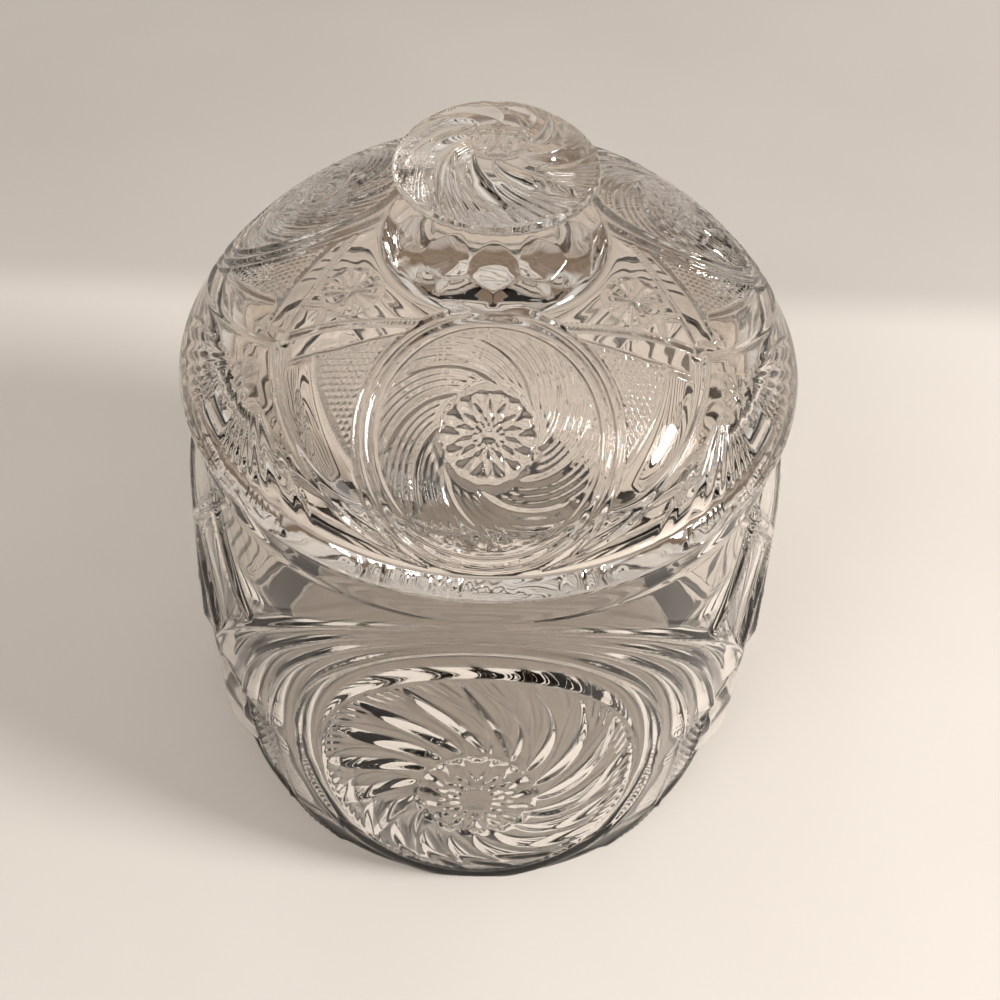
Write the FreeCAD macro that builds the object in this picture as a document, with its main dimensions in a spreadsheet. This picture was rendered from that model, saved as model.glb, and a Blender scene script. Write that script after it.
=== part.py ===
import FreeCAD, Part
import math
import os
import Sketcher

# Pressed-glass biscuit jar: a round jar and a loose domed lid with a knob.
# The pattern repeats three times round both pieces, so every cut is drawn once and turned twice.
# Millimetres, +Z up, origin at the middle of the base, front medallion towards -Y.

doc = FreeCAD.newDocument("BiscuitJar")

DRIVING_SIZES = [
    ("repeats", 3),
    ("jar_height", 137.0),
    ("foot_radius", 81.0),
    ("belly_radius", 86.0),
    ("belly_start", 22.0),
    ("belly_end", 46.0),
    ("shoulder_radius", 79.5),
    ("shoulder_height", 106.0),
    ("neck_radius", 74.6),
    ("neck_height", 129.0),
    ("wall", 6.2),
    ("mouth_radius", 67.4),
    ("floor_thickness", 9.0),
    ("floor_corner", 6.0),
    ("base_recess_radius", 66.0),
    ("base_recess_depth", 1.4),
    ("shallow_depth", 1.1),
    ("deep_depth", 2.0),
    ("jar_medallion_height", 60.0),
    ("jar_medallion_stretch", 1.25),
    ("jar_hub_radius", 15.0),
    ("jar_blades", 16),
    ("jar_blade_inner", 17.0),
    ("jar_blade_outer", 39.0),
    ("jar_blade_sweep", 34.0),
    ("jar_blade_half", 8.5),
    ("jar_channel_inner", 41.5),
    ("jar_channel_width", 5.0),
    ("jar_channel_sides", 36),
    ("hub_bar_half", 0.9),
    ("hub_nub_radius", 4.5),
    ("swag_top_height", 122.0),
    ("swag_reach", 55.0),
    ("swag_end_height", 70.0),
    ("swag_curve", 53.0),
    ("swag_belly", 25.0),
    ("swag_gap", 6.8),
    ("panel_half_width", 15.0),
    ("panel_top", 119.0),
    ("panel_middle", 97.0),
    ("panel_bottom", 60.0),
    ("panel_plane", 78.6),
    ("panel_tilt", 8.0),
    ("ear_centre", 65.0),
    ("ear_radius", 21.8),
    ("ear_bottom", 13.0),
    ("ear_lower", 21.0),
    ("ear_shoulder", 38.0),
    ("ear_top", 53.0),
    ("ear_top_radius", 15.0),
    ("lid_radius", 76.0),
    ("lid_edge", 1.6),
    ("lid_band", 4.6),
    ("dome_curve", 58.5),
    ("dome_centre", 23.6),
    ("dome_drop", 21.9),
    ("dome_start", 28.0),
    ("dome_end", 88.0),
    ("dome_bands", 3),
    ("lid_wall", 5.2),
    ("lid_hollow_straight", 12.5),
    ("flange_clearance", 1.0),
    ("flange_depth", 7.0),
    ("flange_width", 4.0),
    ("lid_cut", 0.9),
    ("collar_radius", 25.5),
    ("collar_foot", 1.2),
    ("collar_height", 10.5),
    ("collar_bands", 3),
    ("neck_waist", 9.4),
    ("waist_height", 3.5),
    ("waist_flats", 8),
    ("thumbprints", 8),
    ("thumbprint_half", 4.4),
    ("thumbprint_height", 4.6),
    ("thumbprint_plane", 22.6),
    ("knob_radius", 21.2),
    ("knob_flare", 3.5),
    ("knob_lip", 1.6),
    ("knob_rise", 6.4),
    ("knob_cut", 1.3),
    ("knob_blades", 8),
    ("knob_button", 5.0),
    ("knob_blade_outer", 18.6),
    ("knob_blade_sweep", 48.0),
    ("knob_blade_half", 15.0),
    ("knob_shoulder", 0.62),
    ("knob_scallops", 12),
    ("knob_scallop", 1.6),
    ("lid_medallion_distance", 50.5),
    ("lid_medallion_sink", 14.0),
    ("lid_medallion_tilt", 56.0),
    ("lid_hub_radius", 10.6),
    ("lid_blades", 8),
    ("lid_blade_inner", 11.6),
    ("lid_blade_outer", 21.6),
    ("lid_blade_sweep", 44.0),
    ("lid_blade_half", 15.0),
    ("lid_ring_inner", 22.8),
    ("lid_ring_width", 1.8),
    ("strap_distance", 28.6),
    ("strap_reach", 33.0),
    ("strap_half", 2.2),
    ("strap_start", 9.0),
    ("star_distance", 35.5),
    ("star_half_length", 7.0),
    ("star_half_width", 8.0),
    ("star_rib", 0.8),
    ("fan_start", 59.0),
    ("fan_end", 71.0),
    ("fan_spread", 11.0),
    ("fan_half", 1.4),
    ("fan_ribs", 3),
]

sheet = doc.addObject("Spreadsheet::Sheet", "Sizes")
for row, (alias, number) in enumerate(DRIVING_SIZES, start=1):
    sheet.set("A%d" % row, alias)
    sheet.set("B%d" % row, str(number))
    sheet.setAlias("B%d" % row, alias)
doc.recompute()


class Size:
    """A length or angle that keeps its value and the expression it came from."""

    def __init__(self, value, text):
        self.value = value
        self.text = text

    def join(self, other, sign, value):
        return Size(value, "(%s %s %s)" % (self.text, sign, as_size(other).text))

    def __add__(self, other):
        return self.join(other, "+", self.value + as_size(other).value)

    def __sub__(self, other):
        return self.join(other, "-", self.value - as_size(other).value)

    def __mul__(self, other):
        return self.join(other, "*", self.value * as_size(other).value)

    def __truediv__(self, other):
        return self.join(other, "/", self.value / as_size(other).value)

    def __neg__(self):
        return Size(-self.value, "(0 - %s)" % self.text)


def as_size(number):
    return number if isinstance(number, Size) else Size(number, repr(number))


def size(alias):
    return Size(float(sheet.get(alias)), "Sizes.%s" % alias)


def count(alias):
    return int(sheet.get(alias))


def cosine(angle):
    return Size(math.cos(math.radians(angle.value)), "cos(%s)" % angle.text)


def sine(angle):
    return Size(math.sin(math.radians(angle.value)), "sin(%s)" % angle.text)


def polar(radius, angle):
    """The point at this radius and angle, both of them sizes."""
    return radius * cosine(angle), radius * sine(angle)


ZERO = as_size(0.0)
ONE = as_size(1.0)


def origin_plane(body, role):
    for feature in body.Origin.OriginFeatures:
        if feature.Role == role:
            return feature
    raise ValueError(role)


def new_sketch(body, name, role, offset=None):
    """A sketch on one of the body's own origin planes, moved by an offset in that plane's frame."""
    sketch = body.newObject("Sketcher::SketchObject", name)
    sketch.AttachmentSupport = [(origin_plane(body, role), "")]
    sketch.MapMode = "FlatFace"
    if offset is not None:
        sketch.AttachmentOffset = offset
    return sketch


def bind(item, path, value):
    item.setExpression(path, as_size(value).text)


def pin_point(sketch, geometry, position, point):
    """Ties one point of a sketch to its two distances from the origin."""
    for kind, distance in zip(("DistanceX", "DistanceY"), point):
        number = sketch.addConstraint(
            Sketcher.Constraint(kind, -1, 1, geometry, position, as_size(distance).value))
        bind(sketch, "Constraints[%d]" % number, distance)


def set_radius(sketch, geometry, radius):
    number = sketch.addConstraint(Sketcher.Constraint("Radius", geometry, as_size(radius).value))
    bind(sketch, "Constraints[%d]" % number, radius)


def vector(point):
    return FreeCAD.Vector(as_size(point[0]).value, as_size(point[1]).value, 0)


def arc_through(start, end, radius):
    """The short arc from start to end that bulges to the right of the way there for a positive radius."""
    chord = end - start
    middle = (start + end) * 0.5
    right = FreeCAD.Vector(chord.y, -chord.x, 0).normalize()
    reach = abs(radius)
    sagitta = reach - math.sqrt(reach ** 2 - (chord.Length / 2) ** 2)
    return Part.Arc(start, middle + right * math.copysign(sagitta, radius), end)


def draw_outline(sketch, corners):
    """A closed outline. A corner is (x, y) or (x, y, radius), the radius being of the arc that leaves it."""
    points = [vector(corner) for corner in corners]
    first = sketch.GeometryCount
    for index, corner in enumerate(corners):
        start = points[index]
        end = points[(index + 1) % len(points)]
        if len(corner) == 3:
            sketch.addGeometry(arc_through(start, end, corner[2].value))
        else:
            sketch.addGeometry(Part.LineSegment(start, end))
    ends = []
    for index, corner in enumerate(corners):
        clockwise = len(corner) == 3 and corner[2].value < 0
        ends.append((2, 1) if clockwise else (1, 2))
    for index, corner in enumerate(corners):
        following = (index + 1) % len(corners)
        sketch.addConstraint(Sketcher.Constraint(
            "Coincident", first + index, ends[index][1], first + following, ends[following][0]))
        pin_point(sketch, first + index, ends[index][0], corner[:2])
        if len(corner) == 3:
            radius = corner[2] if corner[2].value > 0 else -corner[2]
            set_radius(sketch, first + index, radius)


def draw_circle(sketch, centre, radius):
    circle = Part.Circle(vector(centre), FreeCAD.Vector(0, 0, 1), as_size(radius).value)
    number = sketch.addGeometry(circle)
    pin_point(sketch, number, 3, centre)
    set_radius(sketch, number, radius)


def draw_ring(sketch, centre, inner, width):
    draw_circle(sketch, centre, inner)
    draw_circle(sketch, centre, inner + width)


def add_feature(body, kind, name, sketch):
    feature = body.newObject("PartDesign::" + kind, name)
    feature.Profile = sketch
    return feature


def turn_profile(body, kind, name, corners, offset=None):
    """A Revolution or Groove about the sketch's upright axis of an outline drawn as radius and height."""
    sketch = new_sketch(body, name + "Outline", "XZ_Plane", offset)
    draw_outline(sketch, corners)
    feature = add_feature(body, kind, name, sketch)
    feature.ReferenceAxis = (sketch, ["V_Axis"])
    feature.Angle = 360
    doc.recompute()
    return feature


def cut_outwards(body, name, sketch):
    """Cuts from the sketch's own plane outwards, along the sketch's normal, and checks that it cut."""
    before = body.Shape.Volume
    pocket = add_feature(body, "Pocket", name, sketch)
    pocket.Type = "ThroughAll"
    pocket.Reversed = True
    doc.recompute()
    if body.Shape.Volume > before - 1.0:
        raise ValueError(name + " cuts nothing")
    return pocket


def repeat_around(body, name, features, times):
    """Repeats features about the upright axis."""
    pattern = body.newObject("PartDesign::PolarPattern", name)
    pattern.Originals = features
    pattern.Axis = (origin_plane(body, "Z_Axis"), [""])
    pattern.Angle = 360
    bind(pattern, "Occurrences", times)
    body.Tip = pattern
    doc.recompute()
    return pattern


def turned_offset(turn, shift=0.0, tilt=0.0, lift=0.0):
    """Turns a front sketch about the upright axis, moves it outwards and leans it back."""
    placement = FreeCAD.Placement(FreeCAD.Vector(), FreeCAD.Rotation(FreeCAD.Vector(0, 1, 0), turn))
    outwards = FreeCAD.Placement(FreeCAD.Vector(0, lift, shift), FreeCAD.Rotation())
    lean = FreeCAD.Placement(FreeCAD.Vector(), FreeCAD.Rotation(FreeCAD.Vector(1, 0, 0), -tilt))
    return placement.multiply(outwards).multiply(lean)


def flat_offset(turn=0.0, lift=0.0):
    """Lifts a plan sketch and turns it about the upright axis."""
    return FreeCAD.Placement(
        FreeCAD.Vector(0, 0, lift), FreeCAD.Rotation(FreeCAD.Vector(0, 0, 1), turn))


def stretched(centre, radius, angle, stretch):
    """A point of an upright oval: its height is the circle's times the stretch."""
    across, up = polar(radius, angle)
    return centre[0] + across, centre[1] + up * stretch


def draw_oval(sketch, centre, radius, stretch, sides):
    draw_outline(sketch, [stretched(centre, radius, as_size(360.0 * index / sides), stretch)
                          for index in range(sides)])


def draw_whirl(sketch, centre, blades, inner, outer, sweep, half, stretch=ONE):
    """The flutes of a whirling star: leaves that leave the hub at a slant, pointed at both ends."""
    widest = (inner + outer * 2) / 3
    for index in range(blades):
        start = as_size(360.0 * index / blades)
        draw_outline(sketch, [
            stretched(centre, inner, start, stretch),
            stretched(centre, widest, start + sweep * 0.5 - half, stretch),
            stretched(centre, outer, start + sweep, stretch),
            stretched(centre, widest, start + sweep * 0.5 + half, stretch),
        ])


def draw_hub(sketch, centre, radius, nub, bar, stretch=ONE):
    """The cut button in the middle: four corner facets round a plain nub."""
    for index in range(4):
        middle = as_size(90.0 * index + 45.0)
        spread = as_size(30.0)
        draw_outline(sketch, [
            stretched(centre, nub, middle, stretch),
            stretched(centre, radius - bar, middle - spread, stretch),
            stretched(centre, radius - bar, middle + spread, stretch),
        ])


def draw_swag(sketch, side, top, end, curve, belly):
    """A crescent that hangs from its top point, swells and comes to a point at its end."""
    outer = curve
    inner = curve + belly
    start = (top[0] * side, top[1])
    finish = (end[0] * side, end[1])
    if side > 0:
        draw_outline(sketch, [(finish[0], finish[1], outer), (start[0], start[1], -inner)])
    else:
        draw_outline(sketch, [(start[0], start[1], outer), (finish[0], finish[1], -inner)])


# Jar
def jar_skin(depth):
    """The outside of the jar, sunk by the depth of a cut everywhere below the neck."""
    return [
        (ZERO, ZERO),
        (size("foot_radius") - depth, ZERO),
        (size("belly_radius") - depth, size("belly_start")),
        (size("belly_radius") - depth, size("belly_end")),
        (size("shoulder_radius") - depth, size("shoulder_height")),
        (size("neck_radius") - depth, size("neck_height")),
        (size("neck_radius") - depth, size("jar_height")),
        (ZERO, size("jar_height")),
    ]


def make_jar():
    body = doc.addObject("PartDesign::Body", "Jar")
    body.Label = "jar"
    half_step = 180.0 / count("repeats")
    turn_profile(body, "Revolution", "JarSkin", jar_skin(ZERO))

    sketch = new_sketch(body, "JarSwags", "XZ_Plane")
    gap = size("swag_gap")
    for side in (1, -1):
        draw_swag(sketch, side, (size("hub_bar_half") * 4, size("swag_top_height")),
                  (size("swag_reach"), size("swag_end_height")), size("swag_curve"), size("swag_belly"))
        draw_swag(sketch, side, (size("hub_bar_half") * 6, size("swag_top_height") + gap),
                  (size("swag_reach") + gap, size("swag_end_height") + gap),
                  size("swag_curve") + gap, size("swag_belly"))
    swags = cut_outwards(body, "JarSwagCut", sketch)
    repeat_around(body, "JarSwagRound", [swags], size("repeats"))

    sketch = new_sketch(body, "JarHub", "XZ_Plane")
    centre = (ZERO, size("jar_medallion_height"))
    stretch = size("jar_medallion_stretch")
    draw_hub(sketch, centre, size("jar_hub_radius"), size("hub_nub_radius"), size("hub_bar_half"), stretch)
    hub = cut_outwards(body, "JarHubCut", sketch)
    repeat_around(body, "JarHubRound", [hub], size("repeats"))
    turn_profile(body, "Revolution", "JarShallowCore", jar_skin(size("shallow_depth")))

    sketch = new_sketch(body, "JarWhirl", "XZ_Plane")
    draw_whirl(sketch, centre, count("jar_blades"), size("jar_blade_inner"), size("jar_blade_outer"),
               size("jar_blade_sweep"), size("jar_blade_half"), stretch)
    for radius in (size("jar_channel_inner"), size("jar_channel_inner") + size("jar_channel_width")):
        draw_oval(sketch, centre, radius, stretch, count("jar_channel_sides"))
    whirl = cut_outwards(body, "JarWhirlCut", sketch)
    repeat_around(body, "JarWhirlRound", [whirl], size("repeats"))
    turn_profile(body, "Revolution", "JarDeepCore", jar_skin(size("deep_depth")))

    offset = turned_offset(half_step, size("panel_plane").value, size("panel_tilt").value,
                           size("panel_middle").value)
    sketch = new_sketch(body, "JarPanel", "XZ_Plane", offset)
    draw_outline(sketch, [
        (ZERO, size("panel_bottom") - size("panel_middle")),
        (size("panel_half_width"), ZERO),
        (ZERO, size("panel_top") - size("panel_middle")),
        (-size("panel_half_width"), ZERO),
    ])
    panel = cut_outwards(body, "JarPanelCut", sketch)
    repeat_around(body, "JarPanelRound", [panel], size("repeats"))

    ear = turn_profile(body, "Revolution", "JarEar", [
        (ZERO, size("ear_bottom")),
        (size("ear_top_radius"), size("ear_bottom")),
        (size("ear_radius"), size("ear_lower")),
        (size("ear_radius"), size("ear_shoulder")),
        (size("ear_top_radius"), size("ear_top")),
        (ZERO, size("ear_top")),
    ], turned_offset(half_step, size("ear_centre").value))
    repeat_around(body, "JarEarRound", [ear], size("repeats"))

    wall = size("wall")
    floor = size("floor_thickness")
    corner = size("floor_corner")
    lining = size("deep_depth") + wall
    inner_foot = size("belly_radius") - lining
    turn_profile(body, "Groove", "JarHollow", [
        (ZERO, floor),
        (inner_foot - corner, floor),
        (inner_foot, floor + corner),
        (inner_foot, size("belly_end")),
        (size("shoulder_radius") - lining, size("shoulder_height")),
        (size("mouth_radius"), size("neck_height") - wall),
        (size("mouth_radius"), size("jar_height")),
        (ZERO, size("jar_height")),
    ])
    turn_profile(body, "Groove", "JarBaseRecess", [
        (ZERO, ZERO),
        (size("base_recess_radius"), ZERO),
        (size("base_recess_radius") - size("base_recess_depth"), size("base_recess_depth")),
        (ZERO, size("base_recess_depth")),
    ])
    return body


# Lid
def dome_points(depth):
    """The dome from its band up to the collar, sunk by a depth, as straight bands along an arc."""
    points = []
    bands = count("dome_bands")
    for index in range(bands + 1):
        share = index / bands
        angle = size("dome_start") + (size("dome_end") - size("dome_start")) * share
        reach, rise = polar(size("dome_curve") - depth, angle)
        points.append((size("dome_centre") + reach, size("jar_height") - size("dome_drop") + rise))
    return points


def collar_points(foot):
    """The bulb under the knob: straight bands along a quarter of an ellipse."""
    points = []
    bands = count("collar_bands")
    for index in range(bands + 1):
        across, up = polar(ONE, as_size(90.0 * index / bands))
        reach = size("neck_waist") + (size("collar_radius") - size("neck_waist")) * across
        points.append((reach, foot + size("collar_height") * up))
    return points


def make_lid():
    body = doc.addObject("PartDesign::Body", "Lid")
    body.Label = "lid"
    half_step = 180.0 / count("repeats")
    seat = size("jar_height")
    edge = size("lid_edge")
    dome = dome_points(ZERO)
    dome_top = dome[-1][1]
    collar_foot = dome_top + size("collar_foot")
    collar_top = collar_foot + size("collar_height")
    waist_top = collar_top + size("waist_height")
    knob_edge = waist_top + size("knob_flare")
    knob_top = knob_edge + size("knob_lip")
    flange = size("mouth_radius") - size("flange_clearance")

    turn_profile(body, "Revolution", "LidSkin", [
        (ZERO, seat - size("flange_depth")),
        (flange, seat - size("flange_depth")),
        (flange, seat),
        (size("lid_radius") - edge, seat),
        (size("lid_radius"), seat + edge),
        (size("lid_radius"), seat + size("lid_band")),
    ] + dome + [(ZERO, dome_top)])

    above_band = (seat + size("lid_band")).value
    sketch = new_sketch(body, "LidPlanCuts", "XY_Plane", flat_offset(0.0, above_band))
    strap = size("strap_distance")
    for side in (1, -1):
        draw_outline(sketch, [
            (size("strap_start") * side, -strap),
            (size("strap_reach") * side, -strap - size("strap_half")),
            (size("strap_reach") * side, -strap + size("strap_half")),
        ])
    plan = cut_outwards(body, "LidStrapCut", sketch)
    repeat_around(body, "LidStrapRound", [plan], size("repeats"))

    sketch = new_sketch(body, "LidStars", "XY_Plane", flat_offset(half_step, above_band))
    star = size("star_distance")
    rib = size("star_rib")
    for side in (1, -1):
        for lean in (1, -1):
            draw_outline(sketch, [
                (rib * side, -star + rib * lean),
                (size("star_half_width") * side, -star + rib * lean),
                (rib * side, -star + size("star_half_length") * lean),
            ])
        for index in range(count("fan_ribs")):
            start = size("fan_spread") * side * 0.4
            spread = size("fan_spread") * side * (0.55 + 0.36 * index)
            draw_outline(sketch, [
                (start + size("fan_half") * 0.1 * index * side, -size("fan_start")),
                (spread + size("fan_half"), -size("fan_end")),
                (spread - size("fan_half"), -size("fan_end")),
            ])
    stars = cut_outwards(body, "LidStarCut", sketch)
    repeat_around(body, "LidStarRound", [stars], size("repeats"))

    tilt = size("lid_medallion_tilt").value
    distance = size("lid_medallion_distance").value
    lift = seat.value + size("lid_medallion_sink").value
    offset = turned_offset(0.0, distance, tilt, lift)
    sketch = new_sketch(body, "LidMedallion", "XZ_Plane", offset)
    centre = (ZERO, ZERO)
    draw_hub(sketch, centre, size("lid_hub_radius"), size("hub_nub_radius") / 2, size("hub_bar_half"))
    draw_whirl(sketch, centre, count("lid_blades"), size("lid_blade_inner"), size("lid_blade_outer"),
               size("lid_blade_sweep"), size("lid_blade_half"))
    draw_ring(sketch, centre, size("lid_ring_inner"), size("lid_ring_width"))
    medallion = cut_outwards(body, "LidMedallionCut", sketch)
    repeat_around(body, "LidMedallionRound", [medallion], size("repeats"))

    core = dome_points(size("lid_cut"))
    turn_profile(body, "Revolution", "LidCore", [
        (ZERO, seat + edge),
        (core[0][0], seat + edge),
    ] + core + [(ZERO, core[-1][1])])

    turn_profile(body, "Revolution", "LidCollar", [
        (ZERO, dome_top - size("lid_wall") / 2),
        (size("collar_radius"), dome_top - size("lid_wall") / 2),
    ] + collar_points(collar_foot) + [(ZERO, collar_top)])
    sketch = new_sketch(body, "Thumbprint", "XZ_Plane", turned_offset(0.0, size("thumbprint_plane").value))
    middle = collar_foot + size("thumbprint_height")
    print_half = size("thumbprint_half")
    draw_outline(sketch, [
        (print_half, middle),
        (print_half * 0.5, middle + print_half),
        (-print_half * 0.5, middle + print_half),
        (-print_half, middle),
        (-print_half * 0.5, middle - print_half),
        (print_half * 0.5, middle - print_half),
    ])
    thumbprint = cut_outwards(body, "ThumbprintCut", sketch)
    repeat_around(body, "ThumbprintRound", [thumbprint], size("thumbprints"))

    sketch = new_sketch(body, "Waist", "XY_Plane", flat_offset(0.0, collar_top.value))
    flats = count("waist_flats")
    draw_outline(sketch, [polar(size("neck_waist"), as_size(360.0 * index / flats))
                          for index in range(flats)])
    waist = add_feature(body, "Pad", "WaistPad", sketch)
    bind(waist, "Length", size("waist_height"))
    doc.recompute()

    shoulder = size("knob_shoulder")
    button = size("knob_button")
    turn_profile(body, "Revolution", "KnobSkin", [
        (ZERO, waist_top),
        (size("neck_waist"), waist_top),
        (size("knob_radius"), knob_edge),
        (size("knob_radius"), knob_top),
        (size("knob_radius") * shoulder, knob_top + size("knob_rise") * shoulder),
        (button, knob_top + size("knob_rise")),
        (ZERO, knob_top + size("knob_rise")),
    ])
    sketch = new_sketch(body, "KnobWhirl", "XY_Plane", flat_offset(0.0, knob_edge.value))
    draw_whirl(sketch, centre, count("knob_blades"), button, size("knob_blade_outer"),
               size("knob_blade_sweep"), size("knob_blade_half"))
    cut_outwards(body, "KnobWhirlCut", sketch)
    cut = size("knob_cut")
    turn_profile(body, "Revolution", "KnobCore", [
        (ZERO, waist_top),
        (size("neck_waist"), waist_top),
        (size("knob_radius") - cut, knob_edge),
        (size("knob_radius") - cut, knob_top - cut),
        (size("knob_radius") * shoulder, knob_top + size("knob_rise") * shoulder - cut),
        (button, knob_top + size("knob_rise") - cut),
        (ZERO, knob_top + size("knob_rise") - cut),
    ])
    sketch = new_sketch(body, "KnobScallop", "XY_Plane", flat_offset(0.0, waist_top.value))
    notch = size("knob_scallop")
    draw_outline(sketch, [
        (ZERO, -size("knob_radius") + notch),
        (-notch * 2, -size("knob_radius") - notch),
        (notch * 2, -size("knob_radius") - notch),
    ])
    scallop = cut_outwards(body, "KnobScallopCut", sketch)
    repeat_around(body, "KnobScallopRound", [scallop], size("knob_scallops"))

    inner = flange - size("flange_width")
    hollow = dome_points(size("lid_wall"))
    turn_profile(body, "Groove", "LidHollow", [
        (ZERO, seat - size("flange_depth")),
        (inner, seat - size("flange_depth")),
        (inner, seat + size("lid_hollow_straight")),
    ] + hollow[1:] + [(ZERO, hollow[-1][1])])
    return body


jar = make_jar()
lid = make_lid()
doc.recompute()

for item in doc.Objects:
    if "Invalid" in item.State or "Error" in item.State:
        raise ValueError("%s did not build" % item.Name)

os.makedirs("parts", exist_ok=True)
for body in (jar, lid):
    if body.Shape.isNull() or not body.Shape.isValid():
        raise ValueError("%s is not a valid solid" % body.Label)
    body.Shape.exportStep("parts/%s.step" % body.Label)
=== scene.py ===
import math

import bpy
import numpy as np
from mathutils import Matrix, Vector


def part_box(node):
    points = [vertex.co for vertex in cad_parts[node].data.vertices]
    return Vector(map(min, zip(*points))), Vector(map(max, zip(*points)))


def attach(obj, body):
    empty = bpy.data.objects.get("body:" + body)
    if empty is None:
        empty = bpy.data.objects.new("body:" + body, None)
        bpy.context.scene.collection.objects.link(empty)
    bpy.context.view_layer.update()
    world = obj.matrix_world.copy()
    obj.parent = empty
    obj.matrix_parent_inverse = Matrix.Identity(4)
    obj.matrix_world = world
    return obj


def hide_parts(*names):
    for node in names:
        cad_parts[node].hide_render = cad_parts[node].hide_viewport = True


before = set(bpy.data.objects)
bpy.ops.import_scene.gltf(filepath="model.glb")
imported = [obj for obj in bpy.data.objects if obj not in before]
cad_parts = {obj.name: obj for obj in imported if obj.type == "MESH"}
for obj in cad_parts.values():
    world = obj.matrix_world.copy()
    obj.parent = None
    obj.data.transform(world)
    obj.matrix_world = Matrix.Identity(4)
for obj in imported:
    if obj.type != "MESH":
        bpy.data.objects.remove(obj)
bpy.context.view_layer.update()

# Pressed-glass biscuit jar. The glass is worked out in millimetres and turned to metres at the end.
MM = 0.001
REPEATS = 3
SECTOR = 2 * math.pi / REPEATS
COLUMNS = 1080
FINE_STEP = 0.5
COARSE_STEP = 3.0

jar_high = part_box("jar")[1]
lid_low, lid_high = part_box("lid")
RIM_HEIGHT = jar_high[2] / MM
LID_RADIUS = lid_high[0] / MM
LID_TOP = lid_high[2] / MM
FLANGE_FOOT = lid_low[2] / MM


# Shapes that the relief is made of
def scoop(t):
    """A round hollow: 1 in the middle, 0 from -1 and 1 outwards."""
    return np.clip(1 - t * t, 0, None)


def crease(t):
    """A straight-sided ridge or cut: 1 in the middle, 0 from -1 and 1 outwards."""
    return np.clip(1 - np.abs(t), 0, None)


def fade(value, start, end):
    """0 up to start, 1 from end on, smooth between."""
    t = np.clip((value - start) / (end - start), 0, 1)
    return t * t * (3 - 2 * t)


def wave(t):
    """A zigzag between 0 and 1 that repeats with every whole number."""
    return np.abs(2 * (t - np.floor(t)) - 1)


def turns(angle):
    return angle / (2 * math.pi)


# Powers below 1 fill a leaf flute out; the first one moves its widest place towards the hub
LEAF_LEAN = 0.8
LEAF_WIDTH_POWER = 0.75
LEAF_DEPTH_POWER = 0.35
LEAF_LEAST_WIDTH = 0.001
RIB_FADE = 0.12


def whirl(u, v, star):
    """A whirling star: leaf flutes that leave the hub at a slant, with fine ribs between their tips."""
    rho = np.hypot(u, v)
    phi = np.arctan2(v, u)
    inner, outer, blades = star["inner"], star["outer"], star["blades"]
    along = np.clip((rho - inner) / (outer - inner), 0, 1)
    slant = turns(phi - star["sweep"] * along - star["start"]) * blades
    offset = slant % 1.0 - 0.5
    width = star["leaf"] * np.sin(math.pi * along ** LEAF_LEAN) ** LEAF_WIDTH_POWER + LEAF_LEAST_WIDTH
    inside = (rho > inner) & (rho < outer)
    ends = np.sin(math.pi * along) ** LEAF_DEPTH_POWER
    depth = np.where(inside, star["depth"] * scoop(offset / width) * ends, 0)
    ribs = wave(slant * star["ribs"])
    rib_area = inside & (np.abs(offset) > width)
    rib_weight = fade(along, star["rib_start"], star["rib_start"] + RIB_FADE)
    depth = depth + np.where(rib_area, star["rib_depth"] * ribs * rib_weight, 0)
    edge = crease((rho - outer - star["edge"]) / star["edge"])
    return -depth + star["edge_height"] * edge


HUB_TWIST = 2.2
HUB_CUT_HALF = 0.3
HUB_RAY_HALF = 0.4
HUB_RAY_REACH = 1.7
HUB_DIMPLE_DEPTH = 0.9
HUB_CROWN = 1.2
HUB_BORDER = 0.09


def hobstar(u, v, hub):
    """The cut button in the middle of a star: crossing spiral cuts, then short rays round a dimple."""
    radius, dimple, depth, points = hub["radius"], hub["dimple"], hub["depth"], hub["points"]
    rho = np.hypot(u, v)
    phi = np.arctan2(v, u)
    twist = HUB_TWIST * np.sqrt(rho / radius)
    cuts = np.zeros_like(rho)
    for lean in (1, -1):
        spiral = turns(phi) * points + lean * twist
        cuts = np.maximum(cuts, crease((spiral % 1.0 - 0.5) / HUB_CUT_HALF))
    rays = crease((turns(phi) * points % 1.0 - 0.5) / HUB_RAY_HALF)
    rayed = (rho > dimple) & (rho < dimple * HUB_RAY_REACH)
    pattern = np.where(rayed, rays, cuts)
    pattern = np.where(rho < dimple, HUB_DIMPLE_DEPTH * scoop(rho / dimple), pattern)
    crown = HUB_CROWN * depth * scoop(rho / radius)
    border = crease((rho - radius) / (HUB_BORDER * radius))
    return np.where(rho < radius, crown - depth * pattern, 0) - depth * border


BEAD_SHARE = 0.46


def beads(u, v, pitch, height):
    """A field of small raised points in offset rows."""
    row = np.floor(v / pitch)
    x = (u / pitch + 0.5 * (row % 2)) % 1.0 - 0.5
    y = (v / pitch) % 1.0 - 0.5
    return height * scoop(np.hypot(x, y) / BEAD_SHARE)


# Pattern of the jar: a pair of values for fade() says where it starts and where it is complete
JAR_STAR = {"inner": 15.5, "outer": 40.0, "blades": 17, "sweep": math.radians(38), "start": 0.1,
            "leaf": 0.46, "depth": 1.4, "ribs": 5, "rib_start": 0.76, "rib_depth": 0.4,
            "edge": 0.6, "edge_height": 0.3}
JAR_HUB = {"radius": 15.0, "dimple": 4.4, "depth": 0.6, "points": 16}
MEDALLION_HEIGHT = 60.0
MEDALLION_STRETCH = 1.25
CHANNEL_MIDDLE = 44.2
CHANNEL_HALF = 3.0
CHANNEL_DEPTH = 1.7
RING_RADIUS = 48.2
RIDGE_HALF = 0.8
RIDGE_HEIGHT = 0.4
NECK_HEIGHT = 129.0
PATTERN_FOOT = (-2.0, 2.0)
PATTERN_TOP = (NECK_HEIGHT - 3.0, NECK_HEIGHT + 1.0)

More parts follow.
